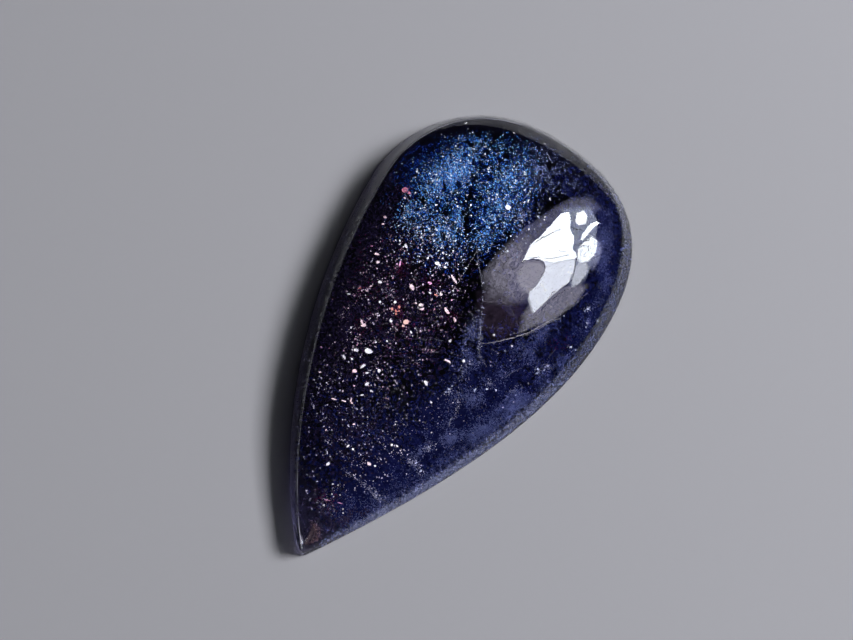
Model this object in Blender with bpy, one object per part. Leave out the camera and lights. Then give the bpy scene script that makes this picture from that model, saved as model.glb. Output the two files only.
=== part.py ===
"""A pear-shaped cabochon of iolite sunstone: a low polished dome on a flat back.

Run with: blender --background --python part.py

Metres, +Z up. The flat back lies on z = 0 with the origin in the middle of the stone's box.
The pointed end is at -Y and the round end at +Y.
"""

import math

import bmesh
import bpy
import numpy as np
from mathutils import Vector
from mathutils.geometry import interpolate_bezier

MM = 0.001

# The outline, measured from the pointed end: x across the stone, y towards the round end.
LENGTH = 30.0 * MM
LEFT_REACH = 7.6 * MM
LEFT_WIDEST_Y = 22.2 * MM
RIGHT_REACH = 9.25 * MM
RIGHT_WIDEST_Y = 21.15 * MM
ROUND_END_X = -0.15 * MM
NOSE_RADIUS = 0.40 * MM
LEFT_FLANK_LEAN = math.radians(39.0)
RIGHT_FLANK_LEAN = math.radians(35.5)

# How far each stretch of the outline follows its tangent before it bends away, at its two ends.
LEFT_FLANK_PULL = (9.5 * MM, 5.2 * MM)
LEFT_SHOULDER_PULL = (3.9 * MM, 4.5 * MM)
RIGHT_SHOULDER_PULL = (4.7 * MM, 7.0 * MM)
RIGHT_FLANK_PULL = (5.5 * MM, 11.4 * MM)

# The wall round the edge: how far it leans in by its top, and how high its top is. Each station
# is counted in stretches from the nose: left flank, two shoulders, right flank and the nose itself.
WALL = [
    (0.00, 0.12 * MM, 0.85 * MM),
    (0.15, 0.30 * MM, 1.15 * MM),
    (0.30, 0.52 * MM, 1.45 * MM),
    (0.50, 0.66 * MM, 1.65 * MM),
    (1.00, 0.95 * MM, 1.75 * MM),
    (2.00, 1.02 * MM, 1.75 * MM),
    (2.50, 0.88 * MM, 1.70 * MM),
    (3.00, 0.60 * MM, 1.50 * MM),
    (3.35, 0.42 * MM, 1.00 * MM),
    (3.70, 0.25 * MM, 0.65 * MM),
    (4.00, 0.12 * MM, 0.70 * MM),
    (5.00, 0.12 * MM, 0.85 * MM),
]
STRETCHES = 5
WALL_EASING = 0.15
BACK_BEVEL = 0.15 * MM
RIDGE_BEVEL = 0.12 * MM

# The dome: how high it arches over its rim, where its rings close, and how it narrows to the nose.
DOME_RISE = 2.4 * MM
APEX = (0.8 * MM, 20.5 * MM)
NARROW_END_ROUNDNESS = 0.5
NARROWING_STARTS_Y = 21.5 * MM
NARROWING_LENGTH = 9.0 * MM

# Points on each stretch of the outline, and rings up the dome.
NOSE_POINTS = 7
FLANK_POINTS = 28
SHOULDER_POINTS = 24
DOME_RINGS = 15
SHARP_FROM = math.radians(25)

STONE_COLOUR = (0.020, 0.018, 0.055, 1.0)
STONE_ROUGHNESS = 0.06
STONE_IOR = 1.54


def clear_scene():
    for thing in list(bpy.data.objects):
        bpy.data.objects.remove(thing, do_unlink=True)


def heading(lean):
    """A unit vector leaning this much from the long axis towards +x."""
    return Vector((math.sin(lean), math.cos(lean)))


def even_points(start, leaving, arriving, end, count):
    """Points evenly spaced along one Bezier stretch, its end left out."""
    fine = np.array(interpolate_bezier(start, leaving, arriving, end, 400))
    steps = np.hypot(*np.diff(fine, axis=0).T)
    travelled = np.concatenate([[0], np.cumsum(steps)])
    wanted = np.linspace(0, travelled[-1], count, endpoint=False)
    return np.column_stack([np.interp(wanted, travelled, fine[:, i]) for i in (0, 1)])


def stone_outline():
    """The outline, clockwise from where the left flank leaves the round nose."""
    up, across = Vector((0, 1)), Vector((1, 0))
    left_heading, right_heading = heading(-LEFT_FLANK_LEAN), heading(RIGHT_FLANK_LEAN)
    nose_centre = up * NOSE_RADIUS
    nose_left = nose_centre + NOSE_RADIUS * Vector((-left_heading.y, left_heading.x))
    nose_right = nose_centre + NOSE_RADIUS * Vector((right_heading.y, -right_heading.x))
    left = Vector((-LEFT_REACH, LEFT_WIDEST_Y))
    right = Vector((RIGHT_REACH, RIGHT_WIDEST_Y))
    round_end = Vector((ROUND_END_X, LENGTH))
    leaving, arriving = LEFT_FLANK_PULL
    left_flank = even_points(
        nose_left, nose_left + left_heading * leaving, left - up * arriving, left, FLANK_POINTS
    )
    leaving, arriving = LEFT_SHOULDER_PULL
    left_shoulder = even_points(
        left, left + up * leaving, round_end - across * arriving, round_end, SHOULDER_POINTS
    )
    leaving, arriving = RIGHT_SHOULDER_PULL
    right_shoulder = even_points(
        round_end, round_end + across * leaving, right + up * arriving, right, SHOULDER_POINTS
    )
    leaving, arriving = RIGHT_FLANK_PULL
    right_flank = even_points(
        right, right - up * leaving, nose_right + right_heading * arriving, nose_right, FLANK_POINTS
    )
    turn = np.linspace(-RIGHT_FLANK_LEAN, LEFT_FLANK_LEAN - math.pi, NOSE_POINTS, endpoint=False)
    nose = np.array(nose_centre) + NOSE_RADIUS * np.column_stack([np.cos(turn), np.sin(turn)])
    return np.concatenate([left_flank, left_shoulder, right_shoulder, right_flank, nose])


def inward_normals(outline):
    """Unit normals into the stone. The outline runs clockwise, so inward is on its right."""
    ahead = np.roll(outline, -1, axis=0) - np.roll(outline, 1, axis=0)
    normals = np.column_stack([ahead[:, 1], -ahead[:, 0]])
    return normals / np.linalg.norm(normals, axis=1, keepdims=True)


def smooth_step(t):
    t = np.clip(t, 0, 1)
    return t * t * (3 - 2 * t)


def wall_sizes():
    """The wall's run and height at each point of the outline, eased between its stations."""
    counts = (FLANK_POINTS, SHOULDER_POINTS, SHOULDER_POINTS, FLANK_POINTS, NOSE_POINTS)
    place = np.concatenate([np.arange(count) / count + i for i, count in enumerate(counts)])
    shifts = np.linspace(-WALL_EASING, WALL_EASING, 9)
    at, runs, heights = np.array(WALL).T
    return [
        np.mean([np.interp((place + shift) % STRETCHES, at, sizes) for shift in shifts], axis=0)
        for sizes in (runs, heights)
    ]


def side_edges(rim, y):
    """The x and z of the rim's left side, then of its right side, at each distance y along the stone."""
    clockwise = np.roll(rim, -rim[:, 1].argmin(), axis=0)
    top = clockwise[:, 1].argmax()
    left_side = clockwise[: top + 1]
    right_side = np.append(clockwise[top:], clockwise[:1], axis=0)[::-1]
    return [np.interp(y, side[:, 1], side[:, i]) for side in (left_side, right_side) for i in (0, 2)]


def dome_height(points, rim):
    """Height of the dome. Each section across the stone is an arc that springs from the rim's two sides."""
    left, left_height, right, right_height = side_edges(rim, points[:, 1])
    half = np.maximum(right - left, 0.001 * MM) / 2
    aside = points[:, 0] - (right + left) / 2
    widest = np.ptp(rim[:, 0]) / 2
    sunk = (widest**2 - DOME_RISE**2) / (2 * DOME_RISE)
    narrowing = smooth_step((NARROWING_STARTS_Y - points[:, 1]) / NARROWING_LENGTH)
    sunk = sunk * (half / widest) ** (NARROW_END_ROUNDNESS * narrowing)
    across = np.clip(0.5 + aside / (2 * half), 0, 1)
    springing = left_height + (right_height - left_height) * across
    return springing + np.sqrt(sunk**2 + np.maximum(half**2 - aside**2, 0)) - sunk


def stone_rings():
    """The closed rings of the surface, from the flat back up to the top of the dome, as x, y, z."""
    outline = stone_outline()
    inward = inward_normals(outline)
    run, wall_top = wall_sizes()
    flat = np.zeros(len(run))
    back_bevel = np.minimum(BACK_BEVEL, run)
    ridge_bevel = np.minimum(RIDGE_BEVEL, run)
    rings = [
        np.column_stack([outline + inward * back_bevel[:, None], flat]),
        np.column_stack([outline, flat + BACK_BEVEL]),
        np.column_stack([outline + inward * run[:, None], wall_top]),
        np.column_stack([outline + inward * (run + ridge_bevel)[:, None], wall_top + ridge_bevel]),
    ]
    rim = rings[-1]
    for step in range(1, DOME_RINGS + 1):
        size = math.cos(step / DOME_RINGS * math.pi / 2)
        ring = APEX + (rim[:, :2] - APEX) * size
        rings.append(np.column_stack([ring, dome_height(ring, rim)]))
    return rings


def build_stone():
    centre = np.array([(RIGHT_REACH - LEFT_REACH) / 2, LENGTH / 2, 0])
    rings = [ring - centre for ring in stone_rings()]
    mesh = bmesh.new()
    loops = [[mesh.verts.new(corner) for corner in ring] for ring in rings[:-1]]
    top = mesh.verts.new(rings[-1][0])
    mesh.faces.new(loops[0])
    for lower, upper in zip(loops, loops[1:]):
        for i, corner in enumerate(lower):
            after = (i + 1) % len(lower)
            mesh.faces.new((corner, upper[i], upper[after], lower[after]))
    for corner, after in zip(loops[-1], loops[-1][1:] + loops[-1][:1]):
        mesh.faces.new((corner, top, after))
    bmesh.ops.recalc_face_normals(mesh, faces=mesh.faces)
    data = bpy.data.meshes.new("cabochon")
    mesh.to_mesh(data)
    mesh.free()
    data.shade_smooth()
    data.set_sharp_from_angle(angle=SHARP_FROM)
    return bpy.data.objects.new("cabochon", data)


def stone_material():
    material = bpy.data.materials.new("polished_iolite_sunstone")
    material.use_nodes = True
    shader = material.node_tree.nodes["Principled BSDF"]
    shader.inputs["Base Color"].default_value = STONE_COLOUR
    shader.inputs["Metallic"].default_value = 0.0
    shader.inputs["Roughness"].default_value = STONE_ROUGHNESS
    shader.inputs["IOR"].default_value = STONE_IOR
    return material


def main():
    clear_scene()
    collection = bpy.data.collections.new("iolite_sunstone_cabochon")
    bpy.context.scene.collection.children.link(collection)
    stone = build_stone()
    stone.data.materials.append(stone_material())
    collection.objects.link(stone)


main()
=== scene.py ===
import math

import bmesh
import bpy
import numpy as np
from mathutils import Matrix, Vector, noise


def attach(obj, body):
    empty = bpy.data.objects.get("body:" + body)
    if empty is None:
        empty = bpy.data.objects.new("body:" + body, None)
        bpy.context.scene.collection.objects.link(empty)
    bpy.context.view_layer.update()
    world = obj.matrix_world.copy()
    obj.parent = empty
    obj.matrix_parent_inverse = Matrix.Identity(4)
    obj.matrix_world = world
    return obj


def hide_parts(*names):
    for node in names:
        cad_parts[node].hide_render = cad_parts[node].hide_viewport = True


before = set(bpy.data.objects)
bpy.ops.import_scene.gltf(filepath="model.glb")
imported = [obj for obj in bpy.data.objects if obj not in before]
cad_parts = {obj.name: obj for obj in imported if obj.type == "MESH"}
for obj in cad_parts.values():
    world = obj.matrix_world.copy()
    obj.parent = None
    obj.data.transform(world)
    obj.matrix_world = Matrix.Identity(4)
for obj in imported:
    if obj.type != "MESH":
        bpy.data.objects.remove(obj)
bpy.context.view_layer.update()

mm = 0.001
scene = bpy.context.scene
scene.view_settings.view_transform = "Standard"


# the camera looks down on the stone from its pointed end, as the photo does
camera = {
    "distance": 84.4 * mm,
    "elevation": 70.0,
    "azimuth": 20.43,  # from looking along +Y towards looking along -X
    "roll": 7.96,
    "lens": 60.56,
    "sensor": 36.0,  # as wide as the picture, in the lens's units
    "aim": (-1.16 * mm, 0.59 * mm, 0.0),
    "nearest": 1 * mm,
}
photo = {"width": 853, "height": 640}
focal = camera["lens"] / camera["sensor"] * photo["width"]  # in pixels
pixel = camera["distance"] / focal  # the size of a pixel at the stone


def makeCamera(c):
    e, a, r = (math.radians(c[k]) for k in ("elevation", "azimuth", "roll"))
    look = Vector((-math.sin(a) * math.cos(e), math.cos(a) * math.cos(e), -math.sin(e)))
    level = look.cross(Vector((0, 0, 1))).normalized()
    upright = level.cross(look)
    right = level * math.cos(r) + upright * math.sin(r)
    up = upright * math.cos(r) - level * math.sin(r)
    data = bpy.data.cameras.new("camera")
    data.lens = c["lens"]
    data.sensor_width = c["sensor"]
    data.clip_start = c["nearest"]
    obj = bpy.data.objects.new("camera", data)
    scene.collection.objects.link(obj)
    turn = Matrix((right, up, -look)).transposed()
    obj.matrix_world = Matrix.Translation(Vector(c["aim"]) - look * c["distance"]) @ turn.to_4x4()
    scene.camera = obj
    return obj


view = makeCamera(camera)
print("camera set")


# the cut stone: a pear-shaped outline, a sloping wall, a ridge and a dome
stoneShape = {
    "length": 30.0 * mm,
    "leftReach": 7.6 * mm,
    "leftWidestY": 22.2 * mm,
    "rightReach": 9.25 * mm,
    "rightWidestY": 21.15 * mm,
    "roundEndX": -0.15 * mm,
    "noseRadius": 0.40 * mm,
    "leftLean": 39.0,
    "rightLean": 35.5,
    "leftFlank": (9.5 * mm, 5.2 * mm),  # how far the curve follows its tangent at both ends
    "leftShoulder": (3.9 * mm, 4.5 * mm),
    "rightShoulder": (4.7 * mm, 7.0 * mm),
    "rightFlank": (5.5 * mm, 11.4 * mm),
    "backBevel": 0.15 * mm,
    "ridgeBevel": 0.12 * mm,
    # round the edge in stretches from the nose: how far the wall leans in, and how high it is
    "wall": [
        (0.00, 0.12 * mm, 0.85 * mm),
        (0.15, 0.30 * mm, 1.15 * mm),
        (0.30, 0.52 * mm, 1.45 * mm),
        (0.50, 0.66 * mm, 1.65 * mm),
        (1.00, 0.95 * mm, 1.75 * mm),
        (2.00, 1.02 * mm, 1.75 * mm),
        (2.50, 0.88 * mm, 1.70 * mm),
        (3.00, 0.60 * mm, 1.50 * mm),
        (3.35, 0.42 * mm, 1.00 * mm),
        (3.70, 0.25 * mm, 0.65 * mm),
        (4.00, 0.12 * mm, 0.70 * mm),
        (5.00, 0.12 * mm, 0.85 * mm),
    ],
    "wallEasing": 0.15,  # each size is a mean over this much of a stretch to either side
    "easingSteps": 9,
    # the ridge is rounded off along the right flank: where, and how far to either side of it
    "ridgeSoft": [
        (0.0, 0.0), (2.7, 0.0), (3.2, 0.32 * mm), (3.9, 0.30 * mm), (4.1, 0.05 * mm), (5.0, 0.0),
    ],
    "mostSoft": 0.6,  # as a share of the wall's height
    "domeRise": 2.4 * mm,
    "apex": (0.8 * mm, 20.5 * mm),
    "narrowRoundness": 0.5,
    "narrowingStarts": 21.5 * mm,
    "narrowingLength": 9.0 * mm,
    "sharpFrom": 20.0,  # edges with a larger angle aren't smoothed
}
# points on the left flank, the two shoulders, the right flank and the nose: of the mesh, and to measure with
meshPoints = (140, 115, 115, 140, 12)
finePoints = (600, 500, 500, 600, 60)
meshRings = {"back": 6, "wall": 8, "ridge": 6, "dome": 130}
mid = np.array([(stoneShape["rightReach"] - stoneShape["leftReach"]) / 2, stoneShape["length"] / 2])


def curvePoints(start, leaving, arriving, end, count, fineness=1500):
    a, b, c, d = (np.array(p, float) for p in (start, leaving, arriving, end))
    t = np.linspace(0, 1, fineness)[:, None]
    fine = (1 - t) ** 3 * a + 3 * (1 - t) ** 2 * t * b + 3 * (1 - t) * t**2 * c + t**3 * d
    gone = np.concatenate([[0], np.cumsum(np.hypot(*np.diff(fine, axis=0).T))])
    wanted = np.linspace(0, gone[-1], count, endpoint=False)
    return np.column_stack([np.interp(wanted, gone, fine[:, i]) for i in (0, 1)])


def heading(lean):
    return np.array([math.sin(lean), math.cos(lean)])


def stoneOutline(s, counts):
    leftLean, rightLean = math.radians(s["leftLean"]), math.radians(s["rightLean"])
    up, across = np.array([0.0, 1.0]), np.array([1.0, 0.0])
    leftWay, rightWay = heading(-leftLean), heading(rightLean)
    radius = s["noseRadius"]
    centre = up * radius
    noseLeft = centre + radius * np.array([-leftWay[1], leftWay[0]])
    noseRight = centre + radius * np.array([rightWay[1], -rightWay[0]])
    left = np.array([-s["leftReach"], s["leftWidestY"]])
    right = np.array([s["rightReach"], s["rightWidestY"]])
    top = np.array([s["roundEndX"], s["length"]])
    stretches = [
        ("leftFlank", noseLeft, leftWay, left, up),
        ("leftShoulder", left, up, top, across),
        ("rightShoulder", top, across, right, -up),
        ("rightFlank", right, -up, noseRight, -rightWay),
    ]
    curves = []
    for (name, start, leaving, end, arriving), count in zip(stretches, counts):
        first, last = s[name]
        curves.append(curvePoints(start, start + leaving * first, end - arriving * last, end, count))
    turn = np.linspace(-rightLean, leftLean - math.pi, counts[-1], endpoint=False)
    nose = centre + radius * np.column_stack([np.cos(turn), np.sin(turn)])
    return np.concatenate([*curves, nose])


def edgePlaces(counts):
    return np.concatenate([np.arange(n) / n + k for k, n in enumerate(counts)])


def smoothStep(t):
    t = np.clip(t, 0, 1)
    return t * t * (3 - 2 * t)


def stoneWall(s, counts):
    outline = stoneOutline(s, counts)
    ahead = np.roll(outline, -1, axis=0) - np.roll(outline, 1, axis=0)
    inward = np.column_stack([ahead[:, 1], -ahead[:, 0]])
    inward /= np.linalg.norm(inward, axis=1, keepdims=True)
    shifts = np.linspace(-s["wallEasing"], s["wallEasing"], s["easingSteps"])
    at, runs, tops = np.array(s["wall"]).T
    around = (edgePlaces(counts) + shifts[:, None]) % len(counts)
    run, top = (np.interp(around, at, sizes).mean(axis=0) for sizes in (runs, tops))
    bevel = np.minimum(s["ridgeBevel"], run)
    rim = np.column_stack([outline + inward * (run + bevel)[:, None], top + bevel])
    return outline, inward, run, top, rim


outline, inward, run, top, rim = stoneWall(stoneShape, finePoints)
alongEdge = edgePlaces(finePoints)
rimHalf = np.ptp(rim[:, 0]) / 2


def sideEdges(y):
    turned = np.roll(rim, -rim[:, 1].argmin(), axis=0)
    top = turned[:, 1].argmax()
    sides = (turned[: top + 1], np.append(turned[top:], turned[:1], axis=0)[::-1])
    return [np.interp(y, side[:, 1], side[:, k]) for side in sides for k in (0, 2)]


# each section across the stone is an arc that springs from the rim's two sides
def domeHeight(xy, s=stoneShape, narrowest=0.001 * mm):
    left, leftZ, right, rightZ = sideEdges(xy[:, 1])
    half = np.maximum(right - left, narrowest) / 2
    aside = xy[:, 0] - (right + left) / 2
    sunk = (rimHalf**2 - s["domeRise"] ** 2) / (2 * s["domeRise"])
    narrowing = smoothStep((s["narrowingStarts"] - xy[:, 1]) / s["narrowingLength"])
    sunk = sunk * (half / rimHalf) ** (s["narrowRoundness"] * narrowing)
    base = leftZ + (rightZ - leftZ) * np.clip(0.5 + aside / (2 * half), 0, 1)
    return base + np.sqrt(sunk**2 + np.maximum(half**2 - aside**2, 0)) - sunk


def stoneRings(s, counts, ringCounts):
    outline, inward, run, top, rim = stoneWall(s, counts)
    soft = np.interp(edgePlaces(counts), *np.array(s["ridgeSoft"]).T)
    wallEnd = 1 - np.minimum(soft / top, s["mostSoft"])
    bevel = s["backBevel"]
    back = np.minimum(bevel, run)
    rings = []
    for a in np.linspace(0, math.pi / 2, ringCounts["back"]):  # the back's rounded edge
        z = np.full(len(run), bevel * (1 - math.cos(a)))
        rings.append(np.column_stack([outline + inward * (back * (1 - math.sin(a)))[:, None], z]))
    for k in range(1, ringCounts["wall"] + 1):
        f = wallEnd * k / ringCounts["wall"]
        rings.append(np.column_stack([outline + inward * (run * f)[:, None], bevel + (top - bevel) * f]))
    # the ridge curves from the wall's last ring to the dome's first one
    below, corner, inner = rings[-1], (rings[-1] + rim) / 2, rim.copy()
    soften = soft > 0
    corner[soften] = np.column_stack([outline + inward * run[:, None], top])[soften]
    inner[soften, :2] += (inward * soft[:, None])[soften]
    inner[soften, 2] = domeHeight(inner[soften, :2])
    for t in np.arange(1, ringCounts["ridge"] + 1) / ringCounts["ridge"]:
        rings.append((1 - t) ** 2 * below + 2 * t * (1 - t) * corner + t**2 * inner)
    for k in range(1, ringCounts["dome"] + 1):
        size = math.cos(k / ringCounts["dome"] * math.pi / 2)
        ring = s["apex"] + (inner[:, :2] - s["apex"]) * size
        rings.append(np.column_stack([ring, domeHeight(ring)]))
    return [ring - [*mid, 0] for ring in rings]


def makeStone(s):
    rings = stoneRings(s, meshPoints, meshRings)
    mesh = bmesh.new()
    loops = [[mesh.verts.new(p) for p in ring] for ring in rings[:-1]]
    top = mesh.verts.new(rings[-1][0])
    mesh.faces.new(loops[0])
    for lower, upper in zip(loops, loops[1:]):
        for corners in zip(lower, upper, upper[1:] + upper[:1], lower[1:] + lower[:1]):
            mesh.faces.new(corners)
    last = loops[-1]
    for corner, after in zip(last, last[1:] + last[:1]):
        mesh.faces.new((corner, top, after))
    bmesh.ops.recalc_face_normals(mesh, faces=mesh.faces)
    data = bpy.data.meshes.new("stoneBody")
    mesh.to_mesh(data)
    mesh.free()
    data.shade_smooth()
    data.set_sharp_from_angle(angle=math.radians(s["sharpFrom"]))
    obj = bpy.data.objects.new("stoneBody", data)
    scene.collection.objects.link(obj)
    return obj


stoneLook = {
    "index": 1.54,
    "roughness": 0.0,
    "dark": 1500.0,  # absorption per metre
    "colour": (0.29, 0.28, 0.50),
    "backRoughness": 0.6,
    "backFades": 0.112 * mm,  # from this height on
    "backTop": 0.16 * mm,  # the ground back ends at this height
    "backTint": (0.42, 0.38, 0.42),
}


def stoneMaterial(v):
    m = bpy.data.materials.new("iolite")
    m.use_nodes = True
    nodes, links = m.node_tree.nodes, m.node_tree.links
    shader = nodes["Principled BSDF"]
    place = nodes.new("ShaderNodeTexCoord")
    apart = nodes.new("ShaderNodeSeparateXYZ")
    links.new(place.outputs["Object"], apart.inputs[0])
    ground = nodes.new("ShaderNodeMapRange")
    ground.inputs["From Min"].default_value = v["backFades"]
    ground.inputs["From Max"].default_value = v["backTop"]
    ground.inputs["To Min"].default_value = v["backRoughness"]
    ground.inputs["To Max"].default_value = v["roughness"]
    links.new(apart.outputs["Z"], ground.inputs["Value"])
    links.new(ground.outputs[0], shader.inputs["Roughness"])
    tint = nodes.new("ShaderNodeMapRange")
    # the inputs of a vector range: 6 is the value, 7 and 8 its two ends, 9 and 10 the colours there
    tint.data_type = "FLOAT_VECTOR"
    tint.inputs[7].default_value = (v["backFades"],) * 3
    tint.inputs[8].default_value = (v["backTop"],) * 3
    tint.inputs[9].default_value = v["backTint"]
    tint.inputs[10].default_value = (1, 1, 1)
    links.new(apart.outputs["Z"], tint.inputs[6])
    links.new(tint.outputs[1], shader.inputs["Base Color"])
    shader.inputs["IOR"].default_value = v["index"]
    shader.inputs["Transmission Weight"].default_value = 1.0
    volume = nodes.new("ShaderNodeVolumeAbsorption")
    volume.inputs["Color"].default_value = (*v["colour"], 1)
    volume.inputs["Density"].default_value = v["dark"]
    links.new(volume.outputs[0], nodes["Material Output"].inputs["Volume"])
    return m


stoneBody = makeStone(stoneShape)
stoneBody.data.materials.append(stoneMaterial(stoneLook))
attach(stoneBody, "root")
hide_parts("cabochon")
print("stone cut:", len(stoneBody.data.polygons), "faces")


# these find what a point of the photo shows: a place on the dome, or a place under it
def surfaceNormal(xy, step=0.02 * mm):
    at = xy + mid
    slopes = [(domeHeight(at + d) - domeHeight(at - d)) / (2 * step) for d in ([step, 0], [0, step])]
    normal = np.column_stack([-slopes[0], -slopes[1], np.ones(len(xy))])
    return normal / np.linalg.norm(normal, axis=1, keepdims=True)


def onDome(spots, firstHeight=2.5 * mm, rounds=30):
    spots = np.asarray(spots, float)
    turn = np.array(view.matrix_world.to_3x3())
    eye = np.array(view.matrix_world.translation)
    aside = (spots - [photo["width"] / 2, photo["height"] / 2]) / focal
    rays = np.column_stack([aside[:, 0], -aside[:, 1], -np.ones(len(spots))]) @ turn.T
    rays /= np.linalg.norm(rays, axis=1, keepdims=True)
    z = np.full(len(spots), firstHeight)
    for _ in range(rounds):  # closer to where the ray meets the dome each time
        at = eye + rays * ((z - eye[2]) / rays[:, 2])[:, None]
        z = (z + domeHeight(at[:, :2] + mid)) / 2
    return at, rays, surfaceNormal(at[:, :2])


def underDome(spots, depth, lowest=0.2 * mm):
    at, rays, normal = onDome(spots)  # each ray bends as it enters the stone
    ratio = 1 / stoneLook["index"]
    facing = -(rays * normal).sum(axis=1)
    bent = ratio * rays + (ratio * facing - np.sqrt(1 - ratio**2 * (1 - facing**2)))[:, None] * normal
    depth = np.minimum(depth, (at[:, 2] - lowest) / -bent[:, 2])
    return at + bent * depth[:, None]


def wellInside(spots, margin, fromEnd=1.6 * mm):
    x, y = (onDome(spots)[0][:, :2] + mid).T
    left, _, right, _ = sideEdges(y)
    return (x > left + margin) & (x < right - margin) & (y < stoneShape["length"] - fromEnd)


def roundedPath(spots, times=3, share=0.25):
    spots = np.array(spots, float)
    for _ in range(times):  # cut off this share at each corner
        before, after = spots[:-1], spots[1:]
        cut = np.stack([(1 - share) * before + share * after, share * before + (1 - share) * after], axis=1)
        spots = np.concatenate([spots[:1], cut.reshape(-1, 2), spots[-1:]])
    return spots


def mottle(spots, grain, seed):
    return np.array([noise.noise((x / grain, y / grain, seed)) for x, y in spots])


# what a piece of grains has where it states nothing else
usual = {
    "edge": 0.6,  # at 0.5 they fill a cloud evenly, and above it they gather in its middle
    "ragged": (0.75, 1.3),  # how the reach of a cloud varies
    "even": False,  # if so, no noise thins them out
    "patch": 9,  # the size of the noise, in pixels
    "barest": -0.5, "gaps": 0.2,  # its levels: no grain stays below the first, and all stay above the second
    "clear": [], "clearSoft": 1.8,  # paths without grains and their half width, and how far that varies
    "margin": 0.25 * mm,
    "longer": (1, 1.5),
    "sides": 5,
    "gloss": 0,
}


def scatter(rng, v):
    clouds = np.array(v["clouds"], float)
    pick = rng.choice(len(clouds), v["count"], p=clouds[:, 5] / clouds[:, 5].sum())
    x, y, wide, high, turn, _ = clouds[pick].T
    out = rng.uniform(0, 1, len(pick)) ** v["edge"] * rng.uniform(*v["ragged"], len(pick))
    way = rng.uniform(0, 2 * math.pi, len(pick))
    aside, along = out * np.cos(way) * wide, out * np.sin(way) * high
    turn = np.radians(turn)
    spots = np.column_stack([
        x + aside * np.cos(turn) - along * np.sin(turn),
        y + aside * np.sin(turn) + along * np.cos(turn),
    ])
    if not v["even"]:
        spots = spots[mottle(spots, v["patch"], v["seed"]) > rng.uniform(v["barest"], v["gaps"], len(spots))]
    for path, half in v["clear"]:
        near = np.min(np.linalg.norm(spots[:, None] - roundedPath(path)[None], axis=2), axis=1)
        spots = spots[near > half * rng.uniform(0, v["clearSoft"], len(spots))]
    return spots[wellInside(spots, v["margin"])]


sheen = (0.25, 0.04, 0.97)  # the platelets lie nearly flat, and lean this way


def flakes(places, reach, rng, spread, longer=1.0, turned=None, sides=5, uneven=(0.7, 1.15)):
    n = len(places)
    facing = np.array(sheen) + rng.normal(0, spread, (n, 3))
    facing /= np.linalg.norm(facing, axis=1, keepdims=True)
    turned = rng.uniform(0, 360, n) if turned is None else np.asarray(turned, float)
    pointing = np.column_stack([np.cos(np.radians(turned)), np.sin(np.radians(turned)), np.zeros(n)])
    across = np.cross(facing, pointing)
    across /= np.linalg.norm(across, axis=1, keepdims=True)
    along = np.cross(across, facing)
    turn = np.linspace(0, 2 * math.pi, sides, endpoint=False)
    out = np.asarray(reach)[:, None] * rng.uniform(*uneven, (n, sides))
    u = (out * np.cos(turn) * np.broadcast_to(longer, n)[:, None])[..., None] * along[:, None]
    v = (out * np.sin(turn))[..., None] * across[:, None]
    corners = (places[:, None] + u + v).reshape(-1, 3)
    return corners, np.arange(n * sides).reshape(n, sides)


def strip(centres, facing, halfWidths):
    ahead = np.gradient(centres, axis=0)
    side = np.cross(ahead, facing)
    side /= np.linalg.norm(side, axis=1, keepdims=True)
    side *= np.asarray(halfWidths)[:, None]
    corners = np.concatenate([centres + side, centres - side])
    n = len(centres)
    i = np.arange(n - 1)
    return corners, np.column_stack([i, i + 1, i + 1 + n, i + n])


def addPiece(name, shapes, material):
    corners, faces, start = [], [], 0
    for points, polygons in shapes:
        corners += points.tolist()
        faces += (np.asarray(polygons) + start).tolist()
        start += len(points)
    data = bpy.data.meshes.new(name)
    data.from_pydata(corners, [], faces)
    data.materials.append(material)
    obj = bpy.data.objects.new(name, data)
    scene.collection.objects.link(obj)
    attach(obj, "root")


def grainMaterial(name, colours, roughness=0.4, gloss=0.5):
    m = bpy.data.materials.new(name)
    m.use_nodes = True
    nodes, links = m.node_tree.nodes, m.node_tree.links
    shader = nodes["Principled BSDF"]
    island = nodes.new("ShaderNodeNewGeometry")
    tint = nodes.new("ShaderNodeValToRGB")
    ramp = tint.color_ramp
    while len(ramp.elements) < len(colours):
        ramp.elements.new(0.5)  # each gets its place below
    for i, colour in enumerate(colours):
        ramp.elements[i].position = i / (len(colours) - 1)
        ramp.elements[i].color = (*colour, 1)
    links.new(island.outputs["Random Per Island"], tint.inputs[0])
    links.new(tint.outputs[0], shader.inputs["Base Color"])
    shader.inputs["Roughness"].default_value = roughness
    shader.inputs["Specular IOR Level"].default_value = gloss
    return m


# a piece's own values over the usual ones, with these sizes turned from mm into metres
def complete(usual, own, sizes):
    v = {**usual, **own}
    return {**v, **{k: [size * mm for size in v[k]] for k in sizes}}


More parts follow.
